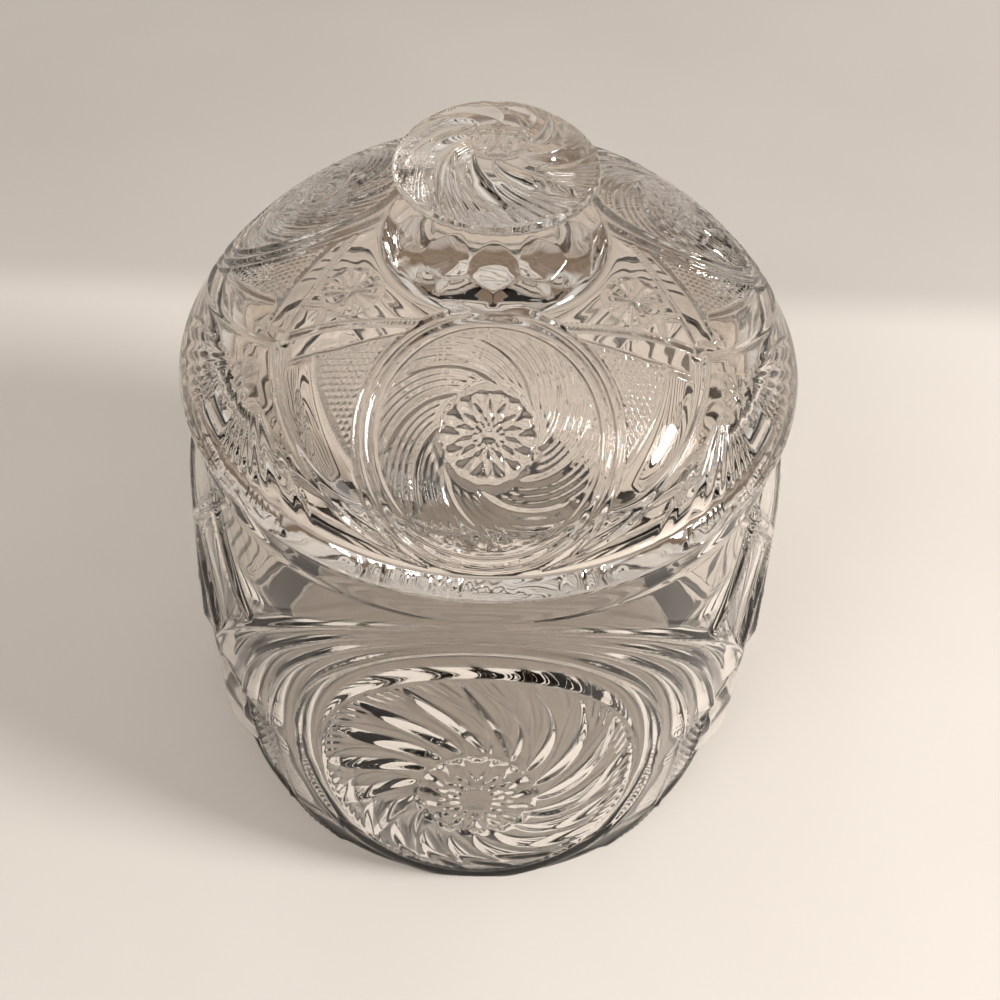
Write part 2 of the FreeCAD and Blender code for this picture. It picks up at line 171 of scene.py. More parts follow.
# Each crescent: radius of its outer edge, and how far that circle's centre lies below the medallion's
CRESCENTS = ((57.0, 7.0), (66.0, 14.5), (78.0, 25.0))
CRESCENT_DEPTH = 1.6
CRESCENT_LEAST = 0.4
CRESCENT_TIPS = (1.0, 6.0)
BEADED_CRESCENT = 1
BEADED_BELOW = (-2.0, 10.0)
JAR_BEAD_PITCH = 1.7
JAR_BEAD_HEIGHT = 0.5

PANEL_TOP = 119.0
PANEL_MIDDLE = 97.0
PANEL_FOOT = 58.0
PANEL_HALF = 15.5
PANEL_SINK = 2.0
PANEL_FADE = (0.0, 2.0)
PANEL_UPPER_SLANT = 1.25
PANEL_LOWER_SLANT = 1.08
PANEL_RIDGE_HALF = 1.0
PANEL_RIDGE_HEIGHT = 0.5
PANEL_RIDGE_GAP = 2.4
CROSSING_SLOPE = 0.8
CROSSING_HALF = 1.2
FLANK_DEPTH = 0.9
FLANK_EDGE = (3.2, 6.0)
FLANK_FOOT = PANEL_FOOT + 12.0

EAR_CENTRE = 65.0
EAR_RADIUS = 21.4
EAR_MIDDLE = 33.0
EAR_HALF_HEIGHT = 20.0
EAR_SQUARENESS = 4
NOTCH_DEPTH = 2.4
NOTCH_EDGE_DEGREES = (15.0, 24.0)
NOTCH_TOP = (PANEL_FOOT - 9.0, PANEL_FOOT + 2.0)
NOTCH_FOOT = (-2.0, 6.0)


def to_sector(azimuth):
    """The angle from the middle of the nearest medallion."""
    return (azimuth + SECTOR / 2) % SECTOR - SECTOR / 2


def jar_relief(azimuth, radius, height):
    """The medallions with their channels, the crescents over them and the panels between them."""
    local = to_sector(azimuth)
    u = radius * np.sin(local)
    v = (height - MEDALLION_HEIGHT) / MEDALLION_STRETCH
    rho = np.hypot(u, v)
    relief = whirl(u, v, JAR_STAR) + hobstar(u, v, JAR_HUB)
    relief -= CHANNEL_DEPTH * scoop((rho - CHANNEL_MIDDLE) / CHANNEL_HALF)
    near = rho - RING_RADIUS
    relief += RIDGE_HEIGHT * crease(near / RIDGE_HALF)
    outside = near > 0
    for index, (reach, drop) in enumerate(CRESCENTS):
        far = np.hypot(u, v + drop) - reach
        between = outside & (near > 0) & (far < 0)
        share = near / np.clip(near - far, CRESCENT_LEAST, None)
        flute = CRESCENT_DEPTH * scoop(2 * share - 1) * fade(near - far, *CRESCENT_TIPS)
        if index == BEADED_CRESCENT:
            beaded = fade(-v, *BEADED_BELOW)
            field = JAR_BEAD_HEIGHT - beads(u, v, JAR_BEAD_PITCH, JAR_BEAD_HEIGHT)
            flute = flute * (1 - beaded) + beaded * field
        relief -= np.where(between, flute, 0)
        relief += np.where(outside, RIDGE_HEIGHT * crease(far / RIDGE_HALF), 0)
        near = far
    relief += panel_relief(local, radius, height) * fade(near, *PANEL_FADE)
    return relief * fade(height, *PATTERN_FOOT) * (1 - fade(height, *PATTERN_TOP))


def panel_relief(local, radius, height):
    """The tall kite-shaped flat between two medallions, edged with a double ridge that crosses at its top."""
    turn = SECTOR / 2 - np.abs(local)
    side = radius * np.sin(turn)
    upper = (PANEL_TOP - height) / (PANEL_TOP - PANEL_MIDDLE)
    lower = (height - PANEL_FOOT) / (PANEL_MIDDLE - PANEL_FOOT)
    half = PANEL_HALF * np.minimum(upper, lower)
    flat = np.clip(radius - (radius - PANEL_SINK) / np.cos(turn), 0, None)
    relief = -np.where(side < half, flat, 0)
    slant = np.where(height > PANEL_MIDDLE, PANEL_UPPER_SLANT, PANEL_LOWER_SLANT)
    edge = np.abs(side - half) / slant
    ridges = PANEL_RIDGE_HEIGHT * crease(edge / PANEL_RIDGE_HALF)
    relief += ridges + RIDGE_HEIGHT * crease((edge - PANEL_RIDGE_GAP) / RIDGE_HALF)
    crossing = np.abs(side - CROSSING_SLOPE * (height - PANEL_TOP))
    relief += np.where(height > PANEL_TOP, PANEL_RIDGE_HEIGHT * crease(crossing / CROSSING_HALF), 0)
    flank = (side > half + FLANK_EDGE[0]) & (height > FLANK_FOOT)
    relief -= np.where(flank, FLANK_DEPTH * fade(side - half, *FLANK_EDGE), 0)
    return relief


def ear_lift(azimuth, radius, height):
    """How far the three rounded ears near the foot stand out, and how far the wall is sunk beside them."""
    turn = SECTOR / 2 - np.abs(to_sector(azimuth))
    rise = (height - EAR_MIDDLE) / EAR_HALF_HEIGHT
    ear = EAR_RADIUS * np.sqrt(np.clip(1 - rise ** EAR_SQUARENESS, 0, None))
    across = EAR_CENTRE * np.sin(turn)
    reach = EAR_CENTRE * np.cos(turn) + np.sqrt(np.clip(ear ** 2 - across ** 2, 0, None))
    sunk = NOTCH_DEPTH * (1 - fade(np.degrees(turn), *NOTCH_EDGE_DEGREES)) * (1 - fade(height, *NOTCH_TOP))
    return np.maximum(reach - radius, -sunk * fade(height, *NOTCH_FOOT))


# Pattern of the lid
LID_STAR = {"inner": 10.4, "outer": 22.6, "blades": 8, "sweep": math.radians(70), "start": 0.2,
            "leaf": 0.2, "depth": 1.0, "ribs": 5, "rib_start": 0.1, "rib_depth": 0.5,
            "edge": 0.5, "edge_height": 0.3}
LID_HUB = {"radius": 10.0, "dimple": 1.9, "depth": 0.5, "points": 14}
LID_MEDALLION_STRETCH = 1.04
LID_MEDALLION_DISTANCE = 52.2
LID_MEDALLION_RISE = 27.6
LID_MEDALLION_LEAN = math.radians(34)
LID_MEDALLION_EDGE = 29.0
LID_PATTERN_RIM = (70.5, 73.5)
LID_PATTERN_COLLAR = (25.8, 27.5)

# Grooves round the medallion: middle, half width and depth; then the ridges beside them
LID_GROOVES = ((24.4, 1.5, 0.9), (27.4, 1.1, 0.7))
LID_RING_INNER = 25.9
LID_RING_OUTER = 28.5
LID_RING_HALF = 0.6
LID_RING_HEIGHT = 0.35

# Two arcs over the medallion: distance of the centre from the axis, radius, half width of the ridge
INNER_ARC = {"centre": 30.4, "radius": 37.6, "ridge": 0.7}
OUTER_ARC = {"centre": 26.0, "radius": 47.2, "ridge": 0.8}
ARC_RIDGE_HEIGHT = 0.45
LID_CRESCENT_DEPTH = 0.9
LID_BEAD_PITCH = 1.35
LID_BEAD_HEIGHT = 0.4
FIELD_MARGIN = 0.6

STRAP_DISTANCE = 28.4
STRAP_HALF = 3.2
STRAP_DEPTH = 0.5
STRAP_START = 3.0
STRAP_LENGTH = 30.0
STRAP_REACH = 44.0
STRAP_LEAN = 0.4
STRAP_MARGIN = 3.0
STRAP_RIDGE_HALF = 0.7
STRAP_RIDGE_HEIGHT = 0.55

FAN_DISTANCE = 64.0
FAN_ASIDE = 4.0
FAN_BACK = 2.0
FAN_LEAD = 1.0
FAN_HEEL = (2.5, 4.0)
FAN_MIDDLE_TURN = 0.75
FAN_HALF_TURN = 0.72
FAN_FLUTES_PER_RADIAN = 5.2
FAN_DEPTH = 0.55
CORNER_STARS = ({"distance": 35.5, "radius": 6.8, "points": 8, "depth": 0.7},
                {"distance": FAN_DISTANCE, "radius": 4.6, "points": 10, "depth": 0.3})
CORNER_MIDDLE = (0.5, 2.0)
CORNER_NUB_RADIUS = 1.2
CORNER_NUB_HEIGHT = 0.4

KNOB_STAR = {"inner": 6.4, "outer": 21.6, "blades": 8, "sweep": math.radians(62), "start": 0.3,
             "leaf": 0.36, "depth": 2.0, "ribs": 6, "rib_start": 0.45, "rib_depth": 0.7,
             "edge": 0.3, "edge_height": 0.0}
KNOB_HUB = {"radius": 6.2, "dimple": 1.0, "depth": 0.35, "points": 8}


def lid_relief(azimuth, radius, height):
    """The medallions on the slope, bead fields and crescents round them, straps, small stars and fans."""
    local = to_sector(azimuth)
    u = radius * np.sin(local)
    out = radius * np.cos(local)
    rise = height - RIM_HEIGHT - LID_MEDALLION_RISE
    v = rise * math.sin(LID_MEDALLION_LEAN) - (out - LID_MEDALLION_DISTANCE) * math.cos(LID_MEDALLION_LEAN)
    v = v / LID_MEDALLION_STRETCH
    rho = np.hypot(u, v)
    relief = whirl(u, v, LID_STAR) + hobstar(u, v, LID_HUB)
    relief -= sum(depth * scoop((rho - middle) / half) for middle, half, depth in LID_GROOVES)
    relief += sum(LID_RING_HEIGHT * crease((rho - ring) / LID_RING_HALF)
                  for ring in (LID_RING_INNER, LID_RING_OUTER))
    outside = rho > LID_MEDALLION_EDGE
    inner = np.hypot(u, out - INNER_ARC["centre"]) - INNER_ARC["radius"]
    outer = np.hypot(u, out - OUTER_ARC["centre"]) - OUTER_ARC["radius"]
    field = outside & (inner < -FIELD_MARGIN) & (out > STRAP_DISTANCE + STRAP_MARGIN)
    relief += np.where(field, beads(u, v, LID_BEAD_PITCH, LID_BEAD_HEIGHT) - LID_BEAD_HEIGHT, 0)
    between = outside & (inner > 0) & (outer < 0)
    share = inner / np.clip(inner - outer, CRESCENT_LEAST, None)
    flute = LID_CRESCENT_DEPTH * scoop(2 * share - 1)
    relief -= np.where(between & (out > STRAP_DISTANCE), flute, 0)
    inner_ridge = ARC_RIDGE_HEIGHT * crease(inner / INNER_ARC["ridge"])
    outer_ridge = ARC_RIDGE_HEIGHT * crease(outer / OUTER_ARC["ridge"])
    relief += inner_ridge * outside + outer_ridge * outside
    relief += corner_relief(local, radius)
    wedge = STRAP_HALF * np.clip((np.abs(u) - STRAP_START) / STRAP_LENGTH, 0, 1)
    offset = np.abs(out - STRAP_DISTANCE - STRAP_LEAN * wedge)
    near_strap = (rho > LID_RING_OUTER) & (np.abs(u) < STRAP_REACH)
    relief = np.where(near_strap & (offset < wedge), -STRAP_DEPTH, relief)
    relief += np.where(near_strap, STRAP_RIDGE_HEIGHT * crease((offset - wedge) / STRAP_RIDGE_HALF), 0)
    return relief * (1 - fade(radius, *LID_PATTERN_RIM)) * fade(radius, *LID_PATTERN_COLLAR)


def corner_relief(local, radius):
    """Between two medallions: a cut star near the collar, a second one lower, and two fans at the rim."""
    turn = SECTOR / 2 - np.abs(local)
    side = radius * np.sin(turn)
    out = radius * np.cos(turn)
    relief = np.zeros_like(radius)
    for star in CORNER_STARS:
        y = out - star["distance"]
        rho = np.hypot(side, y)
        rays = wave(turns(np.arctan2(y, side)) * star["points"])
        relief -= np.where(rho < star["radius"], star["depth"] * rays * fade(rho, *CORNER_MIDDLE), 0)
        relief += CORNER_NUB_HEIGHT * scoop(rho / CORNER_NUB_RADIUS)
    x = side - FAN_ASIDE
    y = out - FAN_DISTANCE + FAN_BACK
    rho = np.hypot(x, y)
    angle = np.arctan2(y, x)
    opening = np.abs(angle - FAN_MIDDLE_TURN) < FAN_HALF_TURN
    fan = (rho > FAN_HEEL[0]) & (out > FAN_DISTANCE - FAN_LEAD) & opening
    flutes = FAN_DEPTH * wave(angle * FAN_FLUTES_PER_RADIAN) * fade(rho, *FAN_HEEL)
    relief -= np.where(fan, flutes, 0)
    return relief


def knob_relief(azimuth, radius):
    """The whirling star on the knob: eight deep blades with fans of fine ribs that end at its lip."""
    u = radius * np.sin(azimuth)
    v = -radius * np.cos(azimuth)
    return whirl(u, v, KNOB_STAR) + hobstar(u, v, KNOB_HUB)


# Meshes. A route lists a profile's points: radius, height, and the step size of the stretch up to there
SMOOTHING_ROUNDS = 3
SMOOTHING_GAP = 2.4
SMOOTHING_SHARE = 0.6


def leg(points, step):
    """Adds to each point of a profile the step size of the stretch that leads to it."""
    return [(radius, height, step) for radius, height in points]


def resample(route):
    """Walks along a route in even steps, and rounds its close corners a little."""
    corners = [np.array(point[:2], float) for point in route]
    path = [corners[0]]
    for start, end, point in zip(corners, corners[1:], route[1:]):
        count = max(1, int(round(np.linalg.norm(end - start) / point[2])))
        for share in range(1, count + 1):
            path.append(start + (end - start) * share / count)
    path = np.array(path)
    for _ in range(SMOOTHING_ROUNDS):
        inner = path[1:-1]
        around = (path[:-2] + path[2:]) / 2
        gap = np.linalg.norm(path[2:] - path[:-2], axis=1)
        soft = np.where(gap < SMOOTHING_GAP, SMOOTHING_SHARE, 0.0)[:, None]
        path[1:-1] = inner + (around - inner) * soft
    return path


def profile_normals(path):
    step = np.gradient(path, axis=0)
    step /= np.linalg.norm(step, axis=1)[:, None]
    return np.stack([step[:, 1], -step[:, 0]], axis=1)


def turned_faces(rows):
    """Corner numbers of the quads between neighbouring rings, and of the fans that close both ends."""
    column = np.arange(COLUMNS)
    following = (column + 1) % COLUMNS
    quads = []
    for row in range(rows - 1):
        low = row * COLUMNS
        high = low + COLUMNS
        quads.append(np.stack([low + column, low + following, high + following, high + column], axis=1))
    last_ring = (rows - 1) * COLUMNS
    first_pole = np.full(COLUMNS, rows * COLUMNS)
    last_pole = first_pole + 1
    bottom = np.stack([first_pole, following, column], axis=1)
    top = np.stack([last_pole, last_ring + column, last_ring + following], axis=1)
    return np.concatenate(quads), np.concatenate([bottom, top])


def revolve(name, path, shape):
    """Turns a closed profile about the upright axis; shape gives each ring's radii and heights."""
    azimuth = np.linspace(0, 2 * math.pi, COLUMNS, endpoint=False)
    inner = path[1:-1]
    normals = profile_normals(path)[1:-1]
    angle = np.tile(azimuth, (len(inner), 1))
    radius, height = shape(angle, inner, normals)
    x = radius * np.sin(angle)
    y = -radius * np.cos(angle)
    rings = np.stack([x, y, height], axis=-1).reshape(-1, 3)
    poles = np.array([[0, 0, path[0][1]], [0, 0, path[-1][1]]])
    vertices = np.concatenate([rings, poles]) * MM
    quads, triangles = turned_faces(len(inner))
    loops = np.concatenate([quads.ravel(), triangles.ravel()])
    starts = np.concatenate([np.arange(len(quads)) * 4, quads.size + np.arange(len(triangles)) * 3])
    mesh = bpy.data.meshes.new(name)
    mesh.vertices.add(len(vertices))
    mesh.vertices.foreach_set("co", vertices.astype(np.float32).ravel())
    mesh.loops.add(len(loops))
    mesh.loops.foreach_set("vertex_index", loops.astype(np.int32))
    mesh.polygons.add(len(starts))
    mesh.polygons.foreach_set("loop_start", starts.astype(np.int32))
    mesh.update(calc_edges=True)
    mesh.validate()
    mesh.polygons.foreach_set("use_smooth", np.ones(len(mesh.polygons), dtype=bool))
    piece = bpy.data.objects.new(name, mesh)
    bpy.context.scene.collection.objects.link(piece)
    return piece


def lift(path, normals, relief):
    """Moves each ring's points out along the profile's normal by the relief there."""
    radius = path[:, :1] + normals[:, :1] * relief
    height = path[:, 1:] + normals[:, 1:] * relief
    return radius, height


# Profile of the jar
RECESS_HEIGHT = 1.4
RECESS_RADIUS = 64.5
FOOT_INNER = 66.0
FOOT_OUTER = 80.8
FOOT_RADIUS = 81.4
BELLY_RADIUS = 85.4
BELLY_FOOT = 22.0
BELLY_TOP = 46.0
SHOULDER_RADIUS = 78.9
SHOULDER_HEIGHT = 106.0
NECK_RADIUS = 74.3
RIM_RADIUS = 74.2
RIM_BEVEL = 0.6
RIM_FLAT_OUTER = 73.4
RIM_FLAT_INNER = 68.0
MOUTH_RADIUS = 67.6
MOUTH_FOOT = 123.0
INSIDE_SHOULDER_RADIUS = 71.6
INSIDE_RADIUS = 77.8
INSIDE_CORNER = 15.0
FLOOR_RADIUS = 72.0
FLOOR_HEIGHT = 9.2
WALL_ROUNDING = 14.0
FLAT_STEP = 8.0

# Parts of the profile that take relief: how far a face looks outwards, and from which radius on
WALL_FACING = 0.3
WALL_LEAST_RADIUS = 73.0
EAR_FACING = -0.2
EAR_LEAST_RADIUS = 76.0
EAR_ZONE_TOP = 60.0


def jar_shape(angle, path, normals):
    base_radius = np.broadcast_to(path[:, :1], angle.shape)
    base_height = np.broadcast_to(path[:, 1:], angle.shape)
    wall = (normals[:, 0] > WALL_FACING) & (path[:, 0] > WALL_LEAST_RADIUS)
    relief = np.where(wall[:, None], jar_relief(angle, base_radius, base_height), 0)
    radius, height = lift(path, normals, relief)
    low = (path[:, 0] > EAR_LEAST_RADIUS) & (path[:, 1] < EAR_ZONE_TOP) & (normals[:, 0] > EAR_FACING)
    ears = ear_lift(angle, base_radius, base_height)
    return radius + np.where(low[:, None], ears, 0), height


def wall_profile(heights, radii, step, window):
    """The outside of the jar from foot to neck, with its corners rounded over a window of heights."""
    height = np.arange(heights[0], heights[-1] + step / 2, step)
    padded = np.arange(heights[0] - window, heights[-1] + window, step)
    radius = np.interp(padded, heights, radii, left=radii[0], right=radii[-1])
    kernel = np.hanning(int(window / step))
    smooth = np.convolve(radius, kernel / kernel.sum(), mode="same")
    return list(zip(np.interp(height, padded, smooth), height))


def make_jar():
    """Up the outside from the recess under the foot, over the rim and down the inside to the floor."""
    wall = wall_profile([0.0, BELLY_FOOT, BELLY_TOP, SHOULDER_HEIGHT, NECK_HEIGHT, RIM_HEIGHT - RIM_BEVEL],
                        [FOOT_RADIUS, BELLY_RADIUS, BELLY_RADIUS, SHOULDER_RADIUS, NECK_RADIUS, RIM_RADIUS],
                        FINE_STEP, WALL_ROUNDING)
    foot = [(0, RECESS_HEIGHT, FLAT_STEP),
            (RECESS_RADIUS, RECESS_HEIGHT, FLAT_STEP),
            (FOOT_INNER, 0, 1.0),
            (FOOT_OUTER, 0, 2.0)]
    outside = leg(wall[1:2], 0.6) + leg(wall[2:], FINE_STEP)
    rim = [(RIM_FLAT_OUTER, RIM_HEIGHT, 0.4),
           (RIM_FLAT_INNER, RIM_HEIGHT, 1.0),
           (MOUTH_RADIUS, RIM_HEIGHT - RIM_BEVEL, 0.4)]
    inside = [(MOUTH_RADIUS, MOUTH_FOOT, COARSE_STEP),
              (INSIDE_SHOULDER_RADIUS, SHOULDER_HEIGHT, COARSE_STEP),
              (INSIDE_RADIUS, BELLY_TOP, COARSE_STEP),
              (INSIDE_RADIUS, INSIDE_CORNER, COARSE_STEP),
              (FLOOR_RADIUS, FLOOR_HEIGHT, COARSE_STEP),
              (0, FLOOR_HEIGHT, FLAT_STEP)]
    return revolve("jar_glass", resample(foot + outside + rim + inside), jar_shape)


# Profile of the lid, from the locating ring up to the knob
HOLLOW_RADIUS = 62.4
HOLLOW_STRAIGHT_TOP = 146.0
FLANGE_FLAT_INNER = 63.0
FLANGE_FLAT_OUTER = 65.7
FLANGE_RADIUS = 66.2
FLANGE_BEVEL = 0.5
SEAT_HEIGHT = RIM_HEIGHT + 0.15
SEAT_RADIUS = 74.6
BRIM_RADIUS = LID_RADIUS - 0.1
BRIM_FOOT = RIM_HEIGHT + 1.7
BRIM_TOP = RIM_HEIGHT + 4.4
DOME_CENTRE_RADIUS = 23.6
DOME_CENTRE_HEIGHT = RIM_HEIGHT - 21.9
DOME_INSIDE = {"curve": 53.4, "start": 40, "end": 88, "count": 12}
DOME_OUTSIDE = {"curve": 58.3, "start": 30, "end": 87, "count": 14}

KNOB_LIP = LID_TOP - 8.0
WAIST_TOP = KNOB_LIP - 3.5
WAIST_FOOT = WAIST_TOP - 3.6
WAIST_RADIUS = 9.4
WAIST_HOLLOW = 1.1
WAIST_SIDES = 8
WAIST_EDGE = 10.5
WAIST_FILLET = 0.5
BULB_FOOT = WAIST_FOOT - 10.5
BULB_REACH = 15.8
BULB_RISE = 10.4
BULB_END = 88
BULB_POINTS = 9
BULB_LEAST_RADIUS = 12.0

# Thumbprints round the collar: each row's height above the collar's foot, and half a print's height
COLLAR_PRINTS = 12
COLLAR_ROWS = ((2.8, 3.2), (7.2, 2.6))
COLLAR_DEPTH = 0.5
CELL_HALF = 0.5

KNOB_RADIUS = 22.8
KNOB_BEVEL = 0.5
KNOB_LIP_EDGE = 0.2
KNOB_CURVE = ((21.6, 2.2), (18.6, 4.6), (13.2, 6.7))
KNOB_CROWN_RADIUS = 7.2
KNOB_CROWN_EDGE = LID_TOP - 0.5
KNOB_CROWN_MIDDLE = LID_TOP - 0.4
KNOB_STEP = 0.35
LIP_RIBS = 40
LIP_RIB_DEPTH = 0.2
LIP_LEAST_RADIUS = 21.5

# Parts of the lid's profile that take relief, from the dome up to the lip
DOME_FACING = 0.05
DOME_LEAST_RADIUS = 25.6
DOME_ZONE_FOOT = RIM_HEIGHT + 3.0
DOME_ZONE_TOP = BULB_FOOT - 0.6
WAIST_ZONE_FOOT = WAIST_FOOT - 0.4
WAIST_ZONE_TOP = WAIST_TOP + 0.6
LIP_ZONE_FOOT = KNOB_LIP - 0.6
KNOB_ZONE_FOOT = KNOB_LIP + 0.8


def lid_shape(angle, path, normals):
    base_radius = np.broadcast_to(path[:, :1], angle.shape)
    base_height = np.broadcast_to(path[:, 1:], angle.shape)
    upward = normals[:, 1] > DOME_FACING
    dome = upward & (path[:, 0] > DOME_LEAST_RADIUS)
    dome &= (path[:, 1] > DOME_ZONE_FOOT) & (path[:, 1] < DOME_ZONE_TOP)
    knob = upward & (path[:, 1] > KNOB_ZONE_FOOT)
    relief = np.where(dome[:, None], lid_relief(angle, base_radius, base_height), 0)
    relief = relief + np.where(knob[:, None], knob_relief(angle, base_radius), 0)
    bulb = (path[:, 1] > BULB_FOOT) & (path[:, 1] < WAIST_FOOT) & (path[:, 0] > BULB_LEAST_RADIUS)
    relief = relief - np.where(bulb[:, None], collar_cells(angle, base_height), 0)
    radius, height = lift(path, normals, relief)
    waist = (path[:, 1] > WAIST_ZONE_FOOT) & (path[:, 1] < WAIST_ZONE_TOP) & (path[:, 0] < WAIST_EDGE)
    radius = np.where(waist[:, None], waist_radius(angle, base_height), radius)
    lip = (path[:, 1] > LIP_ZONE_FOOT) & (path[:, 0] > LIP_LEAST_RADIUS)
    ribs = LIP_RIB_DEPTH * wave(turns(angle) * LIP_RIBS)
    return np.where(lip[:, None], radius - ribs, radius), height


def waist_radius(angle, height):
    """The eight flat sides of the neck under the knob, hollowed a little at half height."""
    half = math.pi / WAIST_SIDES
    facet = (angle + half) % (2 * half) - half
    flats = WAIST_RADIUS * math.cos(half) / np.cos(facet)
    middle = (height - WAIST_FOOT) / (WAIST_TOP - WAIST_FOOT) * 2 - 1
    return flats - WAIST_HOLLOW * scoop(middle)


def collar_cells(angle, height):
    """Two staggered rows of shallow oval thumbprints round the bulb under the knob."""
    prints = np.zeros_like(angle)
    for row, (middle, half) in enumerate(COLLAR_ROWS):
        across = (turns(angle) * COLLAR_PRINTS + CELL_HALF * row) % 1.0 - CELL_HALF
        rise = (height - BULB_FOOT - middle) / half
        prints = np.maximum(prints, scoop(np.hypot(rise, across / CELL_HALF)))
    return COLLAR_DEPTH * prints


def dome_path(curve, start, end, count):
    """Points of the dome's round profile between two angles in degrees."""
    angles = np.radians(np.linspace(start, end, count))
    return [(DOME_CENTRE_RADIUS + curve * math.cos(angle), DOME_CENTRE_HEIGHT + curve * math.sin(angle))
            for angle in angles]


def bulb_path():
    """Points of the collar's round profile, from the dome up to the neck."""
    angles = np.radians(np.linspace(0, BULB_END, BULB_POINTS))
    return [(WAIST_RADIUS + BULB_REACH * math.cos(angle), BULB_FOOT + BULB_RISE * math.sin(angle))
            for angle in angles]


def make_lid():
    """Out along the hollow, round the locating ring and brim, up the dome, collar and neck to the knob."""
    hollow = dome_path(**DOME_INSIDE)[::-1]
    outside = dome_path(**DOME_OUTSIDE)
    bulb = bulb_path()
    route = leg([(0, hollow[0][1])] + hollow[:1], 6.0) + leg(hollow[1:], COARSE_STEP)
    route += [(HOLLOW_RADIUS, HOLLOW_STRAIGHT_TOP, 2.0),
              (HOLLOW_RADIUS, FLANGE_FOOT + FLANGE_BEVEL, 3.0),
              (FLANGE_FLAT_INNER, FLANGE_FOOT, 0.5),
              (FLANGE_FLAT_OUTER, FLANGE_FOOT, 1.0),
              (FLANGE_RADIUS, FLANGE_FOOT + FLANGE_BEVEL, 0.5),
              (FLANGE_RADIUS, SEAT_HEIGHT, 2.0),
              (SEAT_RADIUS, SEAT_HEIGHT, 1.0),
              (BRIM_RADIUS, BRIM_FOOT, 0.5),
              (BRIM_RADIUS, BRIM_TOP, 0.6)]
    route += leg(outside[:1], 0.6) + leg(outside[1:], FINE_STEP)
    route += leg(bulb[:1], 0.5) + leg(bulb[1:], 0.6)
    route += [(WAIST_RADIUS, WAIST_FOOT, 0.5),
              (WAIST_RADIUS, WAIST_TOP, 0.6),
              (WAIST_EDGE, WAIST_TOP + WAIST_FILLET, 0.5),
              (KNOB_RADIUS - KNOB_BEVEL, KNOB_LIP - KNOB_BEVEL, 0.8),
              (KNOB_RADIUS, KNOB_LIP + KNOB_LIP_EDGE, 0.4)]
    route += leg([(radius, KNOB_LIP + rise) for radius, rise in KNOB_CURVE], KNOB_STEP)
    route += leg([(KNOB_CROWN_RADIUS, KNOB_CROWN_EDGE), (0, KNOB_CROWN_MIDDLE)], KNOB_STEP)
    return revolve("lid_glass", resample(route), lid_shape)


# Materials: shares, and lengths in metres
GLASS_TINT = (0.985, 0.95, 0.91, 1)
GLASS_INDEX = 1.5
GLASS_MOST_ROUGHNESS = 0.035
MOULD_WAVES = 55.0
MOULD_DETAIL = 2.0
MOULD_STRENGTH = 0.12
MOULD_DEPTH = 0.0006
CLOTH_DARK = (0.74, 0.70, 0.66, 1)
CLOTH_LIGHT = (0.80, 0.77, 0.73, 1)
CLOTH_RAMP = (0.3, 0.7)
CLOTH_ROUGHNESS = 0.7
CLOTH_PATCHES = 5.0
CLOTH_DETAIL = 3.0
# Painted shade: beyond a soft edge behind the object the floor's colour drops to this share, standing in for
# a backdrop that gets less light
PAINTED_SHADE_STARTS = 0.16
PAINTED_SHADE_ENDS = 0.19
PAINTED_SHADE_BEHIND = 0.78


def glass_material():
    """Clear pressed glass, faintly warm, with the slow waviness and fine sparkle of a moulded surface."""
    material = bpy.data.materials.new("pressed_glass")
    material.use_nodes = True
    nodes = material.node_tree.nodes
    links = material.node_tree.links
    shader = nodes["Principled BSDF"]
    shader.inputs["Base Color"].default_value = GLASS_TINT
    shader.inputs["Transmission Weight"].default_value = 1.0
    shader.inputs["IOR"].default_value = GLASS_INDEX
    place = nodes.new("ShaderNodeTexCoord")
    slow = nodes.new("ShaderNodeTexNoise")
    slow.inputs["Scale"].default_value = MOULD_WAVES
    slow.inputs["Detail"].default_value = MOULD_DETAIL
    bump = nodes.new("ShaderNodeBump")
    bump.inputs["Strength"].default_value = MOULD_STRENGTH
    bump.inputs["Distance"].default_value = MOULD_DEPTH
    rough = nodes.new("ShaderNodeMapRange")
    rough.inputs["To Min"].default_value = 0.0
    rough.inputs["To Max"].default_value = GLASS_MOST_ROUGHNESS
    links.new(place.outputs["Object"], slow.inputs["Vector"])
    links.new(slow.outputs["Fac"], bump.inputs["Height"])
    links.new(slow.outputs["Fac"], rough.inputs["Value"])
    links.new(rough.outputs["Result"], shader.inputs["Roughness"])
    links.new(bump.outputs["Normal"], shader.inputs["Normal"])
    return material


